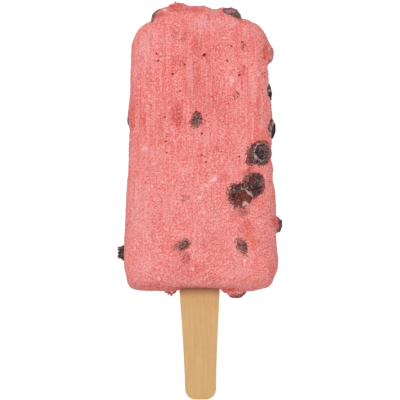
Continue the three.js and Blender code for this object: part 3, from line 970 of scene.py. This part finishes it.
plug_bumps(flesh_shader, strands, strength=0.7, depth=0.25)

PRESSED_GRAIN_RISE = 0.5


def pressed_relief(place):
    """The bar's own broad relief, so that a berry pressed flat follows the pulp over it."""
    return swells(place) + (place.noise(0.8, 2.0, 0.6) - 0.5) * PRESSED_GRAIN_RISE


def torn_relief(place):
    standing = place.patch(*FLAP) * FLAP_RISE + place.patch(*CRUMB) * CRUMB_RISE
    sunk = place.patch(*OPENED) * -OPENED_DEPTH + place.patch(*CRUMB_HOLE) * -CRUMB_HOLE_DEPTH
    return wrinkles(BERRIES["berry_torn"]["uneven"])(place) + standing + sunk


for name, special in BERRIES.items():
    form = {**USUAL, **special}
    low, high = (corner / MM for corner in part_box(name))
    middle = (low + high) / 2
    if "back" in name:
        middle.z = high.z - form["half"][2] * BERRY_RADIUS
    middle += Vector(form.get("shift", (0, 0, 0)))
    berry = berry_ball(form["crown"], form["lobes"], form["frosted"])
    berry.name = name.replace("berry_", "frozen_berry_")
    berry.rotation_euler = [math.radians(t) for t in form["turn"]]
    berry.scale = (Vector(form["half"]) * BERRY_RADIUS + Vector((POCKET_FILL,) * 3)) * MM
    berry.location = middle * MM
    select_only(berry)
    bpy.ops.object.transform_apply(location=True, rotation=True, scale=True)
    outward = Vector(form["out"]).normalized()
    reach = [outward.dot(v.co / MM - middle) for v in berry.data.vertices]
    top = max(reach)
    line = form["line"]
    if "level" in form:
        over = (middle.x * MM, middle.y * MM, ABOVE * MM)
        flat = pulp_level.ray_cast(Vector(over), Vector((0, 0, -1)))[0].z + form["level"] * MM
        line = (flat / MM - middle.z) / top
        select_parts(berry, "vertices", lambda at: at.z > flat)
        bpy.ops.transform.resize(value=(1, 1, PRESSED), center_override=(0, 0, flat))
        bpy.ops.object.mode_set(mode="OBJECT")
    clear = berry.data.attributes.new("clear", "FLOAT", "POINT")
    clear.data.foreach_set("value", [(r / top - line) / FILM_FADE for r in reach])
    filled = berry.data.attributes.new("filled", "FLOAT", "POINT")
    filled.data.foreach_set("value", [form["filled"]] * len(reach))
    if name == "berry_torn":
        relief(berry, torn_relief)
    else:
        relief(berry, pressed_relief if "level" in form else wrinkles(form["uneven"]))
    if "back" in name:
        bpy.ops.object.mode_set(mode="EDIT")
        bpy.ops.mesh.select_all(action="SELECT")
        plane = {"plane_co": (0, 0, BACK_CLEARANCE * MM), "plane_no": (0, 0, 1)}
        bpy.ops.mesh.bisect(**plane, clear_inner=True, use_fill=True)
        bpy.ops.object.mode_set(mode="OBJECT")
    berry.data.materials.append(flesh if name == "berry_torn" else skin)
    select_only(berry)
    bpy.ops.object.shade_smooth()
    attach(berry, "root")
    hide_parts(name)
    "berry_flesh" if name == "berry_torn" else "berry_skin"

# --- The stick ----------------------------------------------------------------------------
# A flat birch stick, stamped from veneer and tumbled until its edges are soft. It widens
# into the bar, which is frozen round more than half of it.
# Sizes in mm.
STICK_LENGTH = 94.0
STICK_HALF_WIDTH = {"handle": 5.7, "held": 8.1}
STICK_FLARE_LENGTH = 62.0
STICK_END_RADIUS = {"handle": 3.9, "held": 6.0}
STICK_THICKNESS = 2.0
STICK_STATIONS = 56
STICK_EDGE = 0.5  # the rounding of its edges
STICK_SHIFT = (-0.3, 0, 0)


def stick_half_width(y):
    """Half the stick's width at a distance from the handle's end, all in mm."""
    t = min(y / STICK_FLARE_LENGTH, 1)
    flare = t * t * (3 - 2 * t)
    full = STICK_HALF_WIDTH["handle"] * (1 - flare) + STICK_HALF_WIDTH["held"] * flare
    end = "handle" if y < STICK_LENGTH / 2 else "held"
    radius = STICK_END_RADIUS[end]
    into = max(0, radius - (y if end == "handle" else STICK_LENGTH - y))
    return full - radius + math.sqrt(radius**2 - into**2)


stations = [
    (1 - math.cos(math.pi * i / STICK_STATIONS)) / 2 * STICK_LENGTH
    for i in range(STICK_STATIONS + 1)
]
first = stations[1]
bpy.ops.object.select_all(action="DESELECT")
bpy.ops.mesh.primitive_plane_add(size=1)
stick = bpy.context.object
stick.name = "birch_stick"
for v in stick.data.vertices:
    y = 0 if v.co.y < 0 else first
    v.co = Vector((math.copysign(stick_half_width(y), v.co.x), y - STICK_LENGTH / 2, 0)) * MM
select_parts(stick, "vertices", lambda at: at.y > (first / 2 - STICK_LENGTH / 2) * MM)
for last, y in zip(stations[1:], stations[2:]):
    bpy.ops.mesh.extrude_region_move(TRANSFORM_OT_translate={"value": (0, (y - last) * MM, 0)})
    ratio = stick_half_width(y) / stick_half_width(last)
    bpy.ops.transform.resize(value=(ratio, 1, 1), center_override=(0, 0, 0))
bpy.ops.object.mode_set(mode="OBJECT")
add_modifier(stick, "SOLIDIFY", thickness=STICK_THICKNESS * MM, offset=0)
add_modifier(stick, "BEVEL", width=STICK_EDGE * MM, segments=3, angle_limit=math.radians(40))
merge_points(stick)

low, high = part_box("stick")
ends = [
    [v.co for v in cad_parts["stick"].data.vertices if abs(v.co.y - y) < 0.2 * MM]
    for y in (low.y, high.y)
]
handle_end, held_end = (sum(end, Vector()) / len(end) for end in ends)
axis = held_end - handle_end
stick.location = (handle_end + held_end) / 2 + Vector(STICK_SHIFT) * MM
stick.rotation_euler = (math.atan2(axis.z, axis.y), 0, math.atan2(-axis.x, axis.y))
select_only(stick)
bpy.ops.object.transform_apply(location=True, rotation=True, scale=True)
bpy.ops.object.shade_smooth_by_angle(angle=math.radians(35))

WOOD = paint(214, 172, 116)
WOOD_BAND = paint(210, 166, 110)
WOOD_CLOUD = paint(203, 163, 113)
WOOD_LINE = paint(200, 156, 102)
PALE_LINE = paint(230, 190, 136)
DAMP_AND_SHADED_WOOD = paint(176, 112, 84)

birch, birch_shader, place = finish_of("birch", Specular_IOR_Level=0.3)
along = place.vector("MULTIPLY", (1.0, 0.035, 1.0))
lines = along.noise(0.45, 2.0, 0.6)
bands = along.noise(2.4, 1.0)
wood = plain(place, WOOD)
wood = wood.over(bands.step(0.42, 0.62) * 0.4, WOOD_BAND)
wood = wood.over(place.noise(1.4, 2.0).step(0.48, 0.66) * 0.3, WOOD_CLOUD)
wood = wood.over(lines.step(0.5, 0.7) * 0.35, WOOD_LINE)
wood = wood.over(lines.step(0.5, 0.36) * 0.25, PALE_LINE)
# The stick is laid darker and redder towards the bar: juice soaked into it, and painted shade
# where the pulp overhangs it.
base_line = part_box("bar")[0].y / MM
damp_and_shade = (in_direction(place, 0, 1, 0) + place.noise(1.5) * 1.6 - base_line).step(-1.2, 1.4)
wood = wood.over(damp_and_shade * 0.5, DAMP_AND_SHADED_WOOD)
plug(birch_shader, "Base Color", wood)
plug(birch_shader, "Roughness", 0.6 + lines * 0.15)
plug_bumps(birch_shader, lines, strength=0.25, depth=0.1)
stick.data.materials.append(birch)
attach(stick, "root")
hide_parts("stick")
